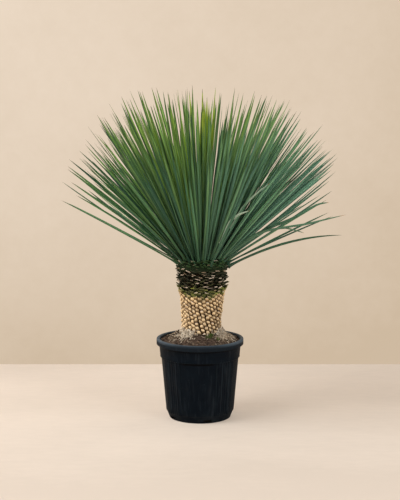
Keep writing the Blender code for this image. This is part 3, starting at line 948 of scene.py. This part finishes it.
def column_places():
    """Height, azimuth and sideways lean of the corky leaf bases below them."""
    places = []
    for column in range(COLUMNS):
        z = LOWEST_BASE_Z + COLUMN_STEP * (column * COLUMN_STAGGER % 1.0)
        while z < TAN_TOP_Z:
            azimuth = math.tau * column / COLUMNS + COLUMN_LEAN * (z - MIDDLE_Z)
            sway = (COLUMN_LEAN + STEM_TWIST * (0.5 - 0.5 * math.cos(azimuth))) * STEM_OUTSIDE[0][1]
            places.append((z, azimuth + stem_twist(z, azimuth), sway))
            z += COLUMN_STEP
    return places


def leaf_base_rings(z, azimuth, sway, dice):
    """One leaf base: it leans out of the stem, wraps round it and ends in a rounded or a cut face."""
    high = eased(z, 0.446, 0.492)
    olive = eased(z, 0.430, 0.452) * (1 - eased(z, 0.478, 0.500))
    length = (0.0210 + 0.0050 * high + 0.001 * olive) * dice.uniform(0.86 - 0.26 * high, 1.12 + 0.06 * high)
    half_width = 0.0065 + 0.0029 * high + 0.002 * olive
    half_width *= dice.uniform(0.84 - 0.24 * high, 1.08 + 0.24 * high)
    half_thickness = (0.0052 - 0.0032 * high) * dice.uniform(0.85, 1.15)
    lean = math.radians(min(72.0, 26.0 + 39.0 * high + dice.gauss(0.0, 4.0 + 5.0 * high)))
    azimuth += dice.gauss(0.0, 0.012)
    outward = level(azimuth)
    side = UP.cross(outward)
    sway += dice.gauss(0.0, 0.05 + 0.09 * high)
    ahead = (outward * math.sin(lean) + UP * math.cos(lean) + side * sway).normalized()
    across = Matrix.Rotation(dice.gauss(0.0, 0.06 + 0.14 * high), 3, ahead) @ side
    up = ahead.cross(across)
    stands = along_table(STANDS_OUT, z)
    radius = along_table(STEM_OUTSIDE, z) - stands
    base = stem_axis(z) + outward * (radius - 0.30 * stands) - UP * length * math.cos(lean) * 0.5
    notch = dice.gauss(0.0, 0.10)
    rings = []
    for knob, stub in zip(KNOB, STUB):
        share, wide, thick = (k + (s - k) * high for k, s in zip(knob, stub))
        ring = []
        for j in range(BASE_SIDES):
            turn = math.tau * (j + 0.5) / BASE_SIDES - math.pi / 2
            x = math.copysign(abs(math.cos(turn)) ** 0.65, math.cos(turn)) * wide
            y = math.copysign(abs(math.sin(turn)) ** 0.65, math.sin(turn)) * thick
            point = base + ahead * length * share * (1 + notch * x * share)
            point += across * half_width * x + up * half_thickness * y
            point -= outward * (half_width * x) ** 2 / (2 * radius)
            ring.append(point)
        rings.append(ring)
    return rings


def stem_twist(z, azimuth):
    """The stem's own twist, which stands its columns of leaf bases upright on the left."""
    return STEM_TWIST * (z - MIDDLE_Z) * (0.5 - 0.5 * math.cos(azimuth))


def zone_at(z, azimuth, dice):
    """The leaf base's zone, whose borders waver and dip where the green runs down."""
    middle, spread, depth = GREEN_PATCH
    away = math.remainder(azimuth - math.radians(middle), math.tau) / math.radians(spread)
    dip = depth * math.exp(-(away**2)) * eased(z, 0.425, 0.440) * (1 - eased(z, 0.462, 0.490))
    waver = 0.009 * noise.noise(level(azimuth) * 2.6 + UP * 9.0) + dice.gauss(0.0, 0.0035)
    return along_table(ZONE, z + dip + waver) + dice.gauss(0.0, 0.02)


def paleness(z, azimuth, chance):
    """How pale a cut face is: many dried-out ones just under the crown, most of all at the front."""
    front = eased(-math.sin(azimuth), 0.985, 1.0) * eased(z, 0.520, 0.530) * (1 - eased(z, 0.556, 0.562))
    share = along_table(PALE_SHARE, z)
    return eased(share + 0.8 * front - chance, -0.05, 0.10) * 0.9


def make_leaf_bases(material):
    groups = {"tan_leaf_bases": column_places(), "dark_leaf_bases": spiral_places()}
    for name, places in groups.items():
        shape = Shape(len(places), math.ceil(math.sqrt(len(places)) / 1.6))
        dice = random.Random(name)
        for z, azimuth, sway in places:
            rings = leaf_base_rings(z, azimuth, sway, dice)
            shape.tube(
                rings,
                along=lambda i, j: BASE_ALONG[i],
                across=lambda i, j: math.cos(math.tau * (j + 0.5) / BASE_SIDES - math.pi / 2),
                end=lambda i, j: BASE_END[i],
                tone=dice.random(),
                pale=paleness(z, azimuth, dice.random()),
                zone=zone_at(z, azimuth, dice),
            )
        shape.piece(name, material, "stem")


# ---------------------------------------------------------------- potting mix


# The mound's rise from the wall to the stem, as shares
MOUND = ((0.0, 0.0), (0.28, 0.22), (0.62, 0.56), (0.86, 0.84), (1.0, 1.0))


def mound(share, azimuth):
    """A point on the mix's surface, from the container's wall (0) to the stem (1)."""
    wall = level(azimuth) * MIX_EDGE_RADIUS
    brim = stem_axis(MIX_STEM_Z)
    brim.z = 0.0
    brim += level(azimuth) * MIX_BRIM_RADIUS
    flat = wall.lerp(brim, share)
    rise = along_table(MOUND, share)
    z = MIX_EDGE_Z + (MIX_STEM_Z - MIX_EDGE_Z) * rise
    lumps = noise.noise(flat * 55.0) * 0.0022 + noise.noise(flat * 150.0) * 0.0016
    return Vector((flat.x, flat.y, z + lumps * min(1.0, 12 * share + 0.3)))


def make_mix(material):
    """The root ball fills the container and mounds up round the stem."""
    azimuths = turns(180)
    shape = Shape(1)
    rings = []
    inside = (
        (FOOT_RADIUS - 0.0075, WALL_THICKNESS + 0.0006),
        (FOOT_RADIUS - 0.0048, WALL_THICKNESS + 0.0045),
        (WALL_FOOT_RADIUS - PANEL_RECESS - WALL_THICKNESS - MIX_GAP, FOOT_HEIGHT + 0.001),
        (WALL_TOP_RADIUS - PANEL_RECESS - WALL_THICKNESS - MIX_GAP, LEDGE_Z - 0.003),
        (BAND_FOOT_RADIUS - WALL_THICKNESS - MIX_GAP, LEDGE_Z + 0.002),
    )
    for radius, z in inside:
        rings.append([level(azimuth) * radius + UP * z for azimuth in azimuths])
    for i in range(23):
        rings.append([mound(i / 22, azimuth) for azimuth in azimuths])
    rings.append([
        stem_axis(MIX_STEM_Z) + level(azimuth) * 0.06 - UP * 0.004 for azimuth in azimuths
    ])
    shape.tube(rings)
    shape.piece("root_ball", material, "mix", "potting_mix", strips=False)


def chip_rings(centre, size, dice, heading=None, slope=0.0):
    """A six-sided angular chip of length, width and thickness `size`, lying at random or down a slope."""
    turn = Matrix.Rotation(dice.uniform(0.0, math.tau) if heading is None else heading, 3, "Z")
    tip = Matrix.Rotation(dice.gauss(0.0, 0.5), 3, "X")
    tip = tip @ Matrix.Rotation(slope + dice.gauss(0.0, 0.4), 3, "Y")
    rings = []
    for share, wide in ((-0.5, 0.45), (-0.32, 0.9), (0.30, 1.0), (0.5, 0.4)):
        ring = []
        for j in range(6):
            angle = math.tau * j / 6
            jitter = dice.uniform(0.75, 1.2)
            ring.append(centre + turn @ tip @ Vector((
                size[0] * (share + dice.uniform(-0.05, 0.05)),
                size[1] / 2 * wide * math.cos(angle) * jitter,
                size[2] / 2 * wide * math.sin(angle) * jitter,
            )))
        rings.append(ring)
    return rings


CHIPS = 1500
# Dry flakes shed by the stem: azimuth, its spread in degrees, and how many
FLAKE_PATCHES = ((-136.0, 13.0, 170), (-116.0, 5.0, 40), (-22.0, 14.0, 110), (100.0, 60.0, 40))


def make_chips(material):
    """Loose bark and crumbs over the mix, and pale flakes against the stem's foot."""
    shape = Shape(CHIPS + sum(patch[2] for patch in FLAKE_PATCHES), 30)
    dice = random.Random(7)
    for number in range(CHIPS):
        azimuth = dice.uniform(0.0, math.tau)
        share = dice.random() ** 0.8
        long = dice.uniform(0.0022, 0.0052) if number % 5 else dice.uniform(0.006, 0.013)
        size = (long, long * dice.uniform(0.4, 0.8), long * dice.uniform(0.25, 0.5))
        centre = mound(0.02 + 0.95 * share, azimuth) + UP * size[2] * 0.25
        shape.tube(chip_rings(centre, size, dice), tone=dice.betavariate(2.0, 3.2))
    for middle, spread, count in FLAKE_PATCHES:
        for _ in range(count):
            azimuth = math.radians(dice.gauss(middle, spread))
            share = 1.0 - 0.30 * dice.random() ** 1.5
            size = (dice.uniform(0.007, 0.018), dice.uniform(0.004, 0.008), dice.uniform(0.0014, 0.0030))
            centre = mound(share, azimuth) + UP * (dice.random() * 0.016 * eased(share, 0.80, 1.0) + 0.001)
            heading = azimuth + dice.gauss(0.0, 0.5)
            rings = chip_rings(centre, size, dice, heading, dice.uniform(0.4, 1.2))
            shape.tube(rings, tone=dice.uniform(0.82, 1.0))
    shape.piece("bark_chips", material, "mix")


def thread_rings(points, radius):
    """A thin round thread through points."""
    rings = []
    last = len(points) - 1
    for i, point in enumerate(points):
        ahead = (points[min(i + 1, last)] - points[max(i - 1, 0)]).normalized()
        side = ahead.cross(Vector((0.31, 0.17, 0.93))).normalized()
        up = ahead.cross(side)
        thin = radius * (0.35 if i in (0, last) else 1.0)
        rings.append([point + side * thin * math.cos(turn) + up * thin * math.sin(turn) for turn in turns(5)])
    return rings


# Where dry fibres lie: azimuth, its spread in degrees, and how many
FIBRE_PATCHES = (
    (-20.0, 16.0, 260), (-145.0, 18.0, 26), (35.0, 40.0, 60), (120.0, 60.0, 60), (-90.0, 40.0, 14),
)


def make_fibres(material):
    """Dry roots and fibres that curl over the mix round the stem's foot."""
    shape = Shape(sum(patch[2] for patch in FIBRE_PATCHES), 6)
    dice = random.Random(11)
    for middle, spread, count in FIBRE_PATCHES:
        for _ in range(count):
            azimuth = math.radians(dice.gauss(middle, spread))
            share = 1.0 - 0.5 * dice.random()
            heading = azimuth + dice.gauss(0.0, 0.9)
            curl = dice.gauss(0.0, 2.5)
            step = dice.uniform(0.0014, 0.0036)
            start = mound(share, azimuth)
            points = []
            for i in range(8):
                start = start + Vector((math.cos(heading), math.sin(heading), 0.0)) * step
                heading += curl * step * 20
                arch = 0.0012 + 0.0035 * math.sin(math.pi * i / 7) * dice.random()
                points.append(Vector((start.x, start.y, mound_height(start) + arch)))
            shape.tube(thread_rings(points, dice.uniform(0.0003, 0.0009)), tone=dice.betavariate(1.6, 1.2))
    shape.piece("dry_fibres", material, "mix")


def mound_height(point):
    """The mix's surface height under a point."""
    azimuth = math.atan2(point.y, point.x)
    out = math.hypot(point.x, point.y)
    wall = MIX_EDGE_RADIUS
    brim = (stem_axis(MIX_STEM_Z) + level(azimuth) * MIX_BRIM_RADIUS).xy.length
    share = min(1.0, max(0.0, (wall - out) / (wall - brim)))
    return mound(share, azimuth).z


# Moss: azimuth in degrees, share of the way to the stem, spread and number of blades
MOSS_PATCHES = (
    (-66.0, 0.90, 0.011, 210), (-52.0, 0.62, 0.007, 60), (-76.0, 0.80, 0.006, 60), (140.0, 0.85, 0.009, 80),
)


def make_moss(material):
    """Small tufts of moss and seedlings by the stem."""
    shape = Shape(sum(patch[3] for patch in MOSS_PATCHES), 12)
    dice = random.Random(13)
    for azimuth, share, spread, count in MOSS_PATCHES:
        heart = mound(share, math.radians(azimuth))
        for _ in range(count):
            root = heart + Vector((dice.gauss(0.0, spread / 2), dice.gauss(0.0, spread / 2), 0.0))
            root.z = mound_height(root) - 0.001
            long = dice.uniform(0.003, 0.008)
            lean = Vector((dice.gauss(0.0, 0.5), dice.gauss(0.0, 0.5), 1.0)).normalized()
            side = lean.cross(Vector((dice.gauss(0.0, 1.0), dice.gauss(0.0, 1.0), 0.0))).normalized()
            front = lean.cross(side)
            rings = []
            for rise, wide in ((0.0, 0.6), (0.45, 1.0), (0.8, 0.7), (1.0, 0.05)):
                middle = root + lean * long * rise + front * 0.002 * rise**2
                rings.append([
                    middle + side * 0.0009 * wide * x + front * 0.0003 * wide * y
                    for x, y in ((0, -1), (1, 0), (0, 1), (-1, 0))
                ])
            shape.tube(rings, along=lambda i, j: i / 3, tone=dice.random())
    shape.piece("moss", material, "mix")


# ------------------------------------------------------------------- container


def wall_columns():
    """Angles round the wall, each with how far the wall is set back there in its panels."""
    columns = []
    start = FIRST_PANEL
    for _ in range(QUARTERS):
        for degrees, recessed, beads in PANELS:
            span = math.radians(degrees)
            count = max(8 * beads, round(degrees / 2.0))
            depth = PANEL_RECESS if recessed else 0.0
            for i in range(count + 1):
                share = i / count
                angle = start + FLANK / 2 + (span - FLANK) * share
                bead = BEAD_HEIGHT * max(0.0, math.sin(math.tau * beads * share - math.pi / 2)) ** 2
                columns.append((angle, depth - bead))
            start += span
    return columns


def arc(radius, z, size, start, end, steps=4):
    """Points of a rounded edge about a centre, as (radius, height)."""
    turns = [math.radians(start + (end - start) * i / steps) for i in range(steps + 1)]
    return [(radius + size * math.cos(turn), z + size * math.sin(turn)) for turn in turns]


def container_profile():
    """The wall's outline from the middle of its underside, up the outside and down the inside:
    radius, height and how much of the panels' recess shows."""
    under_rim = POT_HEIGHT - RIM_DEPTH
    foot_top = WALL_FOOT_RADIUS - FOOT_SET_IN
    inner_band = BAND_TOP_RADIUS - WALL_THICKNESS
    plain = [(0.030, 0.0), (0.0315, 0.0010), (0.0345, 0.0010), (0.036, 0.0)]
    plain += [(0.078, 0.0), (0.0795, 0.0010), (0.0835, 0.0010), (0.085, 0.0)]
    plain += arc(FOOT_RADIUS - 0.003, 0.003, 0.003, -90.0, -8.0)
    plain += [(foot_top - 0.001, FOOT_HEIGHT - 0.006), (foot_top, FOOT_HEIGHT - 0.003)]
    profile = [(radius, z, 0.0) for radius, z in plain]
    profile += [(WALL_FOOT_RADIUS - 0.0008, FOOT_HEIGHT - 0.0012, 1.0)]
    profile += [(WALL_FOOT_RADIUS, FOOT_HEIGHT + 0.0008, 1.0)]
    for i in range(1, 8):
        share = i / 8
        radius = WALL_FOOT_RADIUS + (WALL_TOP_RADIUS - WALL_FOOT_RADIUS) * share
        profile.append((radius, FOOT_HEIGHT + (LEDGE_Z - FOOT_HEIGHT) * share, 1.0))
    profile += [(WALL_TOP_RADIUS, LEDGE_Z - 0.0016, 1.0), (WALL_TOP_RADIUS + 0.0001, LEDGE_Z - 0.0004, 1.0)]
    plain = [(BAND_FOOT_RADIUS - 0.0002, LEDGE_Z), (BAND_FOOT_RADIUS + 0.0007, LEDGE_Z + 0.0008)]
    plain += [(BAND_FOOT_RADIUS + 0.0007, LEDGE_Z + 0.0020), (BAND_FOOT_RADIUS + 0.0002, LEDGE_Z + 0.0032)]
    plain += [((BAND_FOOT_RADIUS + BAND_TOP_RADIUS) / 2, (LEDGE_Z + under_rim) / 2)]
    plain += [(BAND_TOP_RADIUS, under_rim - 0.0015), (BAND_TOP_RADIUS + 0.0006, under_rim)]
    plain += [(RIM_RADIUS - 0.0026, under_rim)]
    plain += arc(RIM_RADIUS - 0.0012, under_rim + 0.0012, 0.0012, -80.0, 0.0, 3)
    plain += arc(RIM_RADIUS - LIP_ROUND, POT_HEIGHT - LIP_ROUND, LIP_ROUND, 0.0, 90.0, 7)
    plain += [(inner_band + 0.0030, POT_HEIGHT - 0.0002), (inner_band + 0.0010, POT_HEIGHT - 0.0012)]
    plain += [(inner_band, POT_HEIGHT - 0.0034)]
    plain += [(BAND_FOOT_RADIUS - WALL_THICKNESS, LEDGE_Z + 0.001)]
    plain += [(WALL_TOP_RADIUS - PANEL_RECESS - WALL_THICKNESS, LEDGE_Z - 0.003)]
    plain += [(WALL_FOOT_RADIUS - PANEL_RECESS - WALL_THICKNESS, FOOT_HEIGHT + 0.001)]
    plain += [(FOOT_RADIUS - WALL_THICKNESS, WALL_THICKNESS + 0.003)]
    plain += [(FOOT_RADIUS - WALL_THICKNESS - 0.003, WALL_THICKNESS), (0.030, WALL_THICKNESS)]
    return profile + [(radius, z, 0.0) for radius, z in plain]


def make_container(material):
    columns = wall_columns()
    shape = Shape(1)
    rings = []
    for radius, z, recess in container_profile():
        rings.append([
            level(angle) * (radius - recess * depth) + UP * z for angle, depth in columns
        ])
    shape.tube(rings)
    pot = shape.piece("container", material, "container", "pot", strips=False)
    cutters = []
    for i in range(DRAINS):
        azimuth = FIRST_DRAIN + math.tau * i / DRAINS
        cutters.append(drain_slot(azimuth))
        cutters.append(floor_hole(azimuth + math.pi / DRAINS))
    for cutter in cutters:
        cut = pot.modifiers.new("drain", "BOOLEAN")
        cut.operation = "DIFFERENCE"
        cut.solver = "EXACT"
        cut.object = cutter
    graph = bpy.context.evaluated_depsgraph_get()
    opened = bpy.data.meshes.new_from_object(pot.evaluated_get(graph))
    pot.modifiers.clear()
    pot.data = opened
    opened.shade_smooth()
    opened.set_sharp_from_angle(angle=SHARP_OVER)
    for cutter in cutters:
        bpy.data.objects.remove(cutter)


def solid_between(name, rings):
    """A plain closed tube, used for cutting."""
    shape = Shape(1)
    shape.tube(rings)
    mesh = bpy.data.meshes.new(name)
    mesh.from_pydata(shape.points, [], shape.faces)
    made = bpy.data.objects.new(name, mesh)
    bpy.context.scene.collection.objects.link(made)
    return made


def drain_slot(azimuth):
    """A slot through the sloping foot, with rounded corners."""
    deep, wide, tall = DRAIN_SIZE
    outward = level(azimuth)
    side = UP.cross(outward)
    round_by = 0.0022
    outline = []
    for x, z, start in ((1, -1, -90.0), (1, 1, 0.0), (-1, 1, 90.0), (-1, -1, 180.0)):
        corner = (x * (wide / 2 - round_by), z * (tall / 2 - round_by) + DRAIN_Z)
        outline += arc(*corner, round_by, start, start + 90.0, 3)
    rings = []
    for reach in (-deep / 2, deep / 2):
        rings.append([outward * (FOOT_RADIUS + reach) + side * x + UP * z for x, z in outline])
    return solid_between("drain_slot", rings)


def floor_hole(azimuth):
    middle = level(azimuth) * FLOOR_HOLE_RING
    rings = []
    for z in (-0.004, 0.008):
        rings.append([middle + level(turn) * FLOOR_HOLE_RADIUS + UP * z for turn in turns(24)])
    return solid_between("floor_hole", rings)


# ----------------------------------------------------------------------- stage


# How much of the floor's brightness to the camera is its own, which keeps the shadow on it soft
FLOOR_GLOW = 0.40
STAGE_HALF_WIDTH = 9.0
WALL_Y = 0.84
CAMERA_PLACE = (0.0, -4.2, 1.1644)
CAMERA_DIP = math.radians(7.4)
CAMERA_LENS = 83.72
SKY_STRENGTH = 0.42


def floor_finish():
    """Pale screed, clear from below so that it never hides the plant."""
    screed = Finish("pale_screed", specular=0.1)
    wash = screed.mottle(screed.place(1.0, 2.5), 1.3, 3.0, 0.5)
    grain = screed.mottle(screed.place(1.0, 3.0), 14.0, 5.0, 0.6)
    # Painted shade: the screed is darker towards the camera
    nearer_shade = (-0.3 - screed.axis("Y")).at_least(0.0)
    tone = (wash - 0.5) * 1.2 + (grain - 0.5) * 0.7 + nearer_shade * 1.2 + 0.5
    screed.colour = screed.mix(tone, (0.765, 0.680, 0.606), (0.672, 0.594, 0.525))
    screed.done(0.9, screed.bump(grain, 0.002, 0.3))
    bright = screed.mix(tone, (0.825, 0.693, 0.570), (0.705, 0.586, 0.476))
    glow = screed.node("Emission", None, {"Color": bright})
    seen = screed.node("LightPath", output="Is Camera Ray") * FLOOR_GLOW
    either = screed.node("MixShader", None, {0: seen, 1: Value(screed, screed.shader.outputs[0]), 2: glow})
    return clear_from_behind(screed, either)


def wall_finish():
    """Pale plaster with painted light, lighter higher up and to the left: it glows with its own colour to the
    camera and to gloss, and is plain plaster to every other ray.
    """
    plaster = Finish("pale_plaster", specular=0.1)
    x, z = plaster.axis("X"), plaster.axis("Z")
    wash = plaster.mottle(plaster.place(), 1.6, 4.0, 0.55)
    grain = plaster.mottle(plaster.place(), 22.0, 5.0, 0.65)
    # Painted light: the plaster is lighter higher up and to the left
    light_rise = z * (1.02 - 0.24 * z)
    tone = 0.05 + light_rise * 0.55 - x * (0.085 + 0.14 * light_rise) + (wash - 0.5) * 0.45 + (grain - 0.5) * 0.20
    plaster.colour = plaster.mix(tone, (0.620, 0.490, 0.355), (0.880, 0.740, 0.600))
    plaster.done(0.9, plaster.bump(grain, 0.002, 0.3))
    glow = plaster.node("Emission", None, {"Color": plaster.colour, "Strength": 1.0})
    camera, glossy, through = (
        plaster.node("LightPath", output=f"Is {ray} Ray") for ray in ("Camera", "Glossy", "Transmission")
    )
    seen = (camera + glossy + through).at_most(1.0)
    either = plaster.node("MixShader", None, {0: seen, 1: Value(plaster, plaster.shader.outputs[0]), 2: glow})
    return clear_from_behind(plaster, either)


def clear_from_behind(finish, shader):
    facing = finish.node("NewGeometry", output="Backfacing")
    either = finish.node("MixShader", None, {0: facing, 1: shader, 2: finish.node("BsdfTransparent")})
    finish.feed(finish.nodes["Material Output"], {"Surface": either})
    return finish.material


def stage_plane(name, corners, material):
    mesh = bpy.data.meshes.new(name)
    mesh.from_pydata([Vector(corner) for corner in corners], [], [range(4)])
    mesh.materials.append(material)
    made = bpy.data.objects.new(name, mesh)
    bpy.context.scene.collection.objects.link(made)


def make_stage():
    """A floor, and a wall behind the plant."""
    a, y = STAGE_HALF_WIDTH, WALL_Y
    stage_plane("floor", ((-a, -a, 0), (a, -a, 0), (a, a, 0), (-a, a, 0)), floor_finish())
    stage_plane("wall", ((-a, y, -1), (a, y, -1), (a, y, a), (-a, y, a)), wall_finish())


def add_area_light(name, place, target, size, watts, colour):
    lamp = bpy.data.lights.new(name, "AREA")
    lamp.shape = "DISK"
    lamp.size = size
    lamp.energy = watts
    lamp.color = colour
    made = bpy.data.objects.new(name, lamp)
    made.location = place
    made.rotation_euler = (Vector(place) - Vector(target)).to_track_quat("Z", "Y").to_euler()
    bpy.context.scene.collection.objects.link(made)


def light_stage():
    heart = (0.0, 0.0, 0.65)
    add_area_light("key", (-3.8, -1.8, 5.0), heart, 4.6, 350.0, (1.0, 0.985, 0.96))
    add_area_light("fill", (3.4, -3.2, 2.2), heart, 3.0, 106.0, (0.95, 0.98, 1.0))
    world = bpy.data.worlds.new("soft_room")
    world.use_nodes = True
    sky = world.node_tree.nodes["Background"]
    sky.inputs["Color"].default_value = (1.0, 0.975, 0.94, 1.0)
    sky.inputs["Strength"].default_value = SKY_STRENGTH
    bpy.context.scene.world = world


def place_camera():
    lens = bpy.data.cameras.new("camera")
    lens.lens = CAMERA_LENS
    lens.sensor_width = 36.0
    lens.clip_end = 60.0
    camera = bpy.data.objects.new("camera", lens)
    camera.location = CAMERA_PLACE
    camera.rotation_euler = (math.pi / 2 - CAMERA_DIP, 0.0, 0.0)
    bpy.context.scene.collection.objects.link(camera)
    bpy.context.scene.camera = camera
    bpy.context.scene.view_settings.view_transform = "Standard"


def main():
    leaf = leaf_finish("leaf_blade")
    make_leaf_rows(leaf)
    make_young_leaves(leaf_finish("young_leaf_blade", 0.55))
    make_low_leaves(leaf)
    make_bent_leaves(dead_leaf_finish())
    make_stem_core(bark_finish())
    make_leaf_bases(leaf_base_finish())
    make_mix(soil_finish())
    make_chips(chip_finish())
    make_fibres(root_finish())
    make_moss(moss_finish())
    make_container(plastic_finish())
    make_stage()
    light_stage()
    place_camera()


main()
